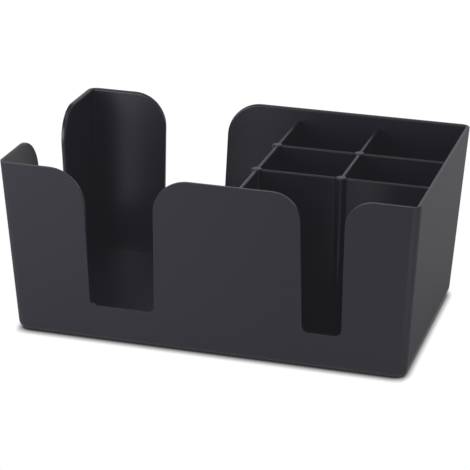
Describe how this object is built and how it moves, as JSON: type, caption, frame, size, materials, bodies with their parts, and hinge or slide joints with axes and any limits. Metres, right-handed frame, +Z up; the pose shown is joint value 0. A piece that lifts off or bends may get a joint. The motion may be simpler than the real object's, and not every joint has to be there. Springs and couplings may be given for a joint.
{
  "type": "bar caddy",
  "caption": "Open bar caddy: a tray with leaning walls, round-shouldered cut-outs for napkins and straws, and a lift-out grid of interlocking dividers.",
  "frame": {"origin": "centre of the tray's rim rectangle, on the surface that the foot rests on", "axes": "+X along the tray from the napkin bay to the cells, +Y from the front wall to the back wall, +Z up"},
  "size_m": [0.24, 0.1526, 0.1045],
  "materials": {
    "tray_plastic": "fine matte moulded charcoal black",
    "divider_plastic": "fine matte moulded charcoal black"
  },
  "bodies": {
    "tray": {"tray": "tray_plastic"},
    "front_cross_divider": {"front_cross_divider": "divider_plastic"},
    "rear_cross_divider": {"rear_cross_divider": "divider_plastic"},
    "long_divider": {"long_divider": "divider_plastic"},
    "short_divider": {"short_divider": "divider_plastic"}
  },
  "joints": [
    {"name": "front_cross_lift", "type": "slide", "parent": "tray", "child": "front_cross_divider", "axis": [0, 0, 1], "range_m": [0, 0.115]},
    {"name": "rear_cross_lift", "type": "slide", "parent": "tray", "child": "rear_cross_divider", "axis": [0, 0, 1], "range_m": [0, 0.115]},
    {"name": "long_divider_lift", "type": "slide", "parent": "front_cross_divider", "child": "long_divider", "axis": [0, 0, 1], "range_m": [0, 0.115]},
    {"name": "short_divider_lift", "type": "slide", "parent": "front_cross_divider", "child": "short_divider", "axis": [0, 0, 1], "range_m": [0, 0.115]}
  ],
  "couplings": [
    {"joint": "rear_cross_lift", "follows": "front_cross_lift", "ratio": 1}
  ]
}
